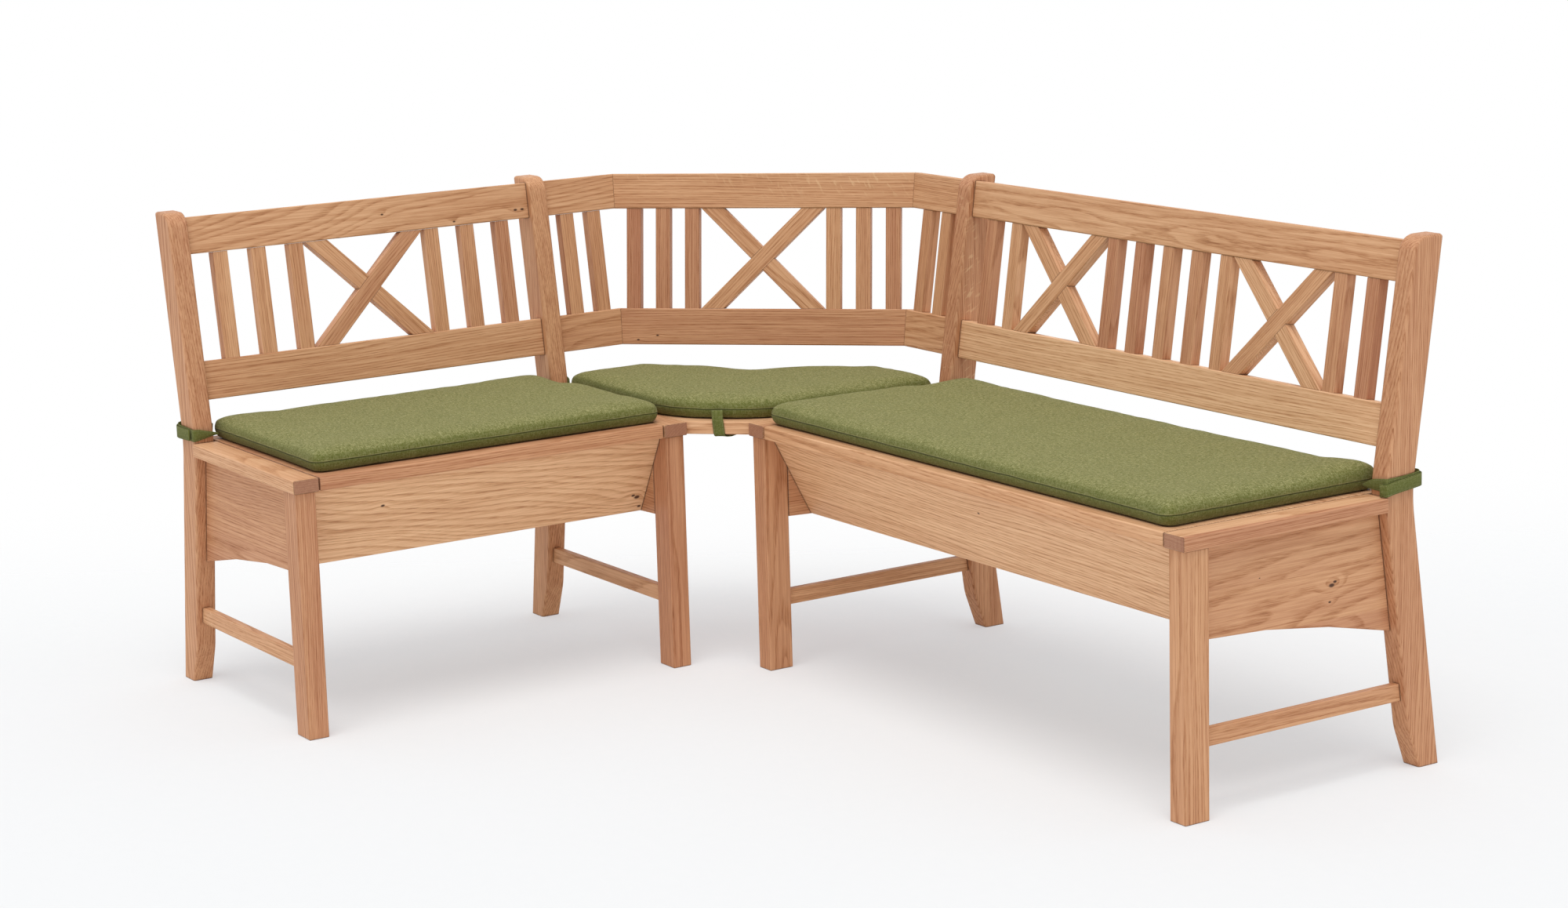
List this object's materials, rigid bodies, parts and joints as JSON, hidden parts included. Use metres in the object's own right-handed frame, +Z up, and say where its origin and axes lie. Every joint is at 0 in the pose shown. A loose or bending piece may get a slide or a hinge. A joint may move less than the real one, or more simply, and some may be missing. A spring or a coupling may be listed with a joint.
{
  "type": "corner storage bench",
  "caption": "L-shaped oak corner bench with hinged seat lids over storage chests, a corner seat carried between the wings, slatted backs with crosses, and seat cushions.",
  "frame": {"origin": "on the floor, below the middle of the bench's outer length and depth", "axes": "+X along the long wing away from the wall corner, +Y towards the wall behind the long wing, +Z up"},
  "size_m": [1.8604, 1.4284, 0.881],
  "materials": {
    "oak": "oiled, satin",
    "plywood": "plain plywood",
    "olive_fabric": "melange weave",
    "hinge_steel": "satin"
  },
  "bodies": {
    "bench": {"corner_back_cross": "oak", "corner_back_left_lattice": "oak", "corner_back_left_top_rail": "oak", "corner_back_middle_lattice": "oak", "corner_back_middle_top_rail": "oak", "corner_back_right_lattice": "oak", "corner_back_right_top_rail": "oak", "corner_cushion": "olive_fabric", "corner_cushion_strap": "olive_fabric", "corner_seat": "oak", "corner_seat_left_cleat": "oak", "corner_seat_right_cleat": "oak", "left_back_board": "plywood", "left_back_cross": "oak", "left_back_lattice": "oak", "left_back_top_rail": "oak", "left_chest_floor": "plywood", "left_cushion_strap": "olive_fabric", "left_front_board": "oak", "left_hinge_frame_leaf_1": "hinge_steel", "left_hinge_frame_leaf_2": "hinge_steel", "left_inner_cap_rail": "oak", "left_inner_front_leg": "oak", "left_inner_rear_post": "oak", "left_inner_side_panel": "oak", "left_inner_stretcher": "oak", "left_outer_cap_rail": "oak", "left_outer_front_leg": "oak", "left_outer_rear_post": "oak", "left_outer_side_panel": "oak", "left_outer_stretcher": "oak", "right_back_board": "plywood", "right_back_cross_1": "oak", "right_back_cross_2": "oak", "right_back_lattice": "oak", "right_back_top_rail": "oak", "right_chest_floor": "plywood", "right_cushion_strap": "olive_fabric", "right_front_board": "oak", "right_hinge_frame_leaf_1": "hinge_steel", "right_hinge_frame_leaf_2": "hinge_steel", "right_inner_cap_rail": "oak", "right_inner_front_leg": "oak", "right_inner_rear_post": "oak", "right_inner_side_panel": "oak", "right_inner_stretcher": "oak", "right_outer_cap_rail": "oak", "right_outer_front_leg": "oak", "right_outer_rear_post": "oak", "right_outer_side_panel": "oak", "right_outer_stretcher": "oak"},
    "left_seat": {"left_lid": "oak", "left_cushion": "olive_fabric", "left_hinge_lid_leaf_1": "hinge_steel", "left_hinge_lid_leaf_2": "hinge_steel"},
    "right_seat": {"right_lid": "oak", "right_cushion": "olive_fabric", "right_hinge_lid_leaf_1": "hinge_steel", "right_hinge_lid_leaf_2": "hinge_steel"}
  },
  "joints": [
    {"name": "left_lid_hinge", "type": "hinge", "parent": "bench", "child": "left_seat", "pos_m": [-0.81293, -0.3165, 0.4377], "axis": [0, -1, 0], "range_deg": [0, 54]},
    {"name": "right_lid_hinge", "type": "hinge", "parent": "bench", "child": "right_seat", "pos_m": [0.3165, 0.59693, 0.4377], "axis": [-1, 0, 0], "range_deg": [0, 54]}
  ]
}
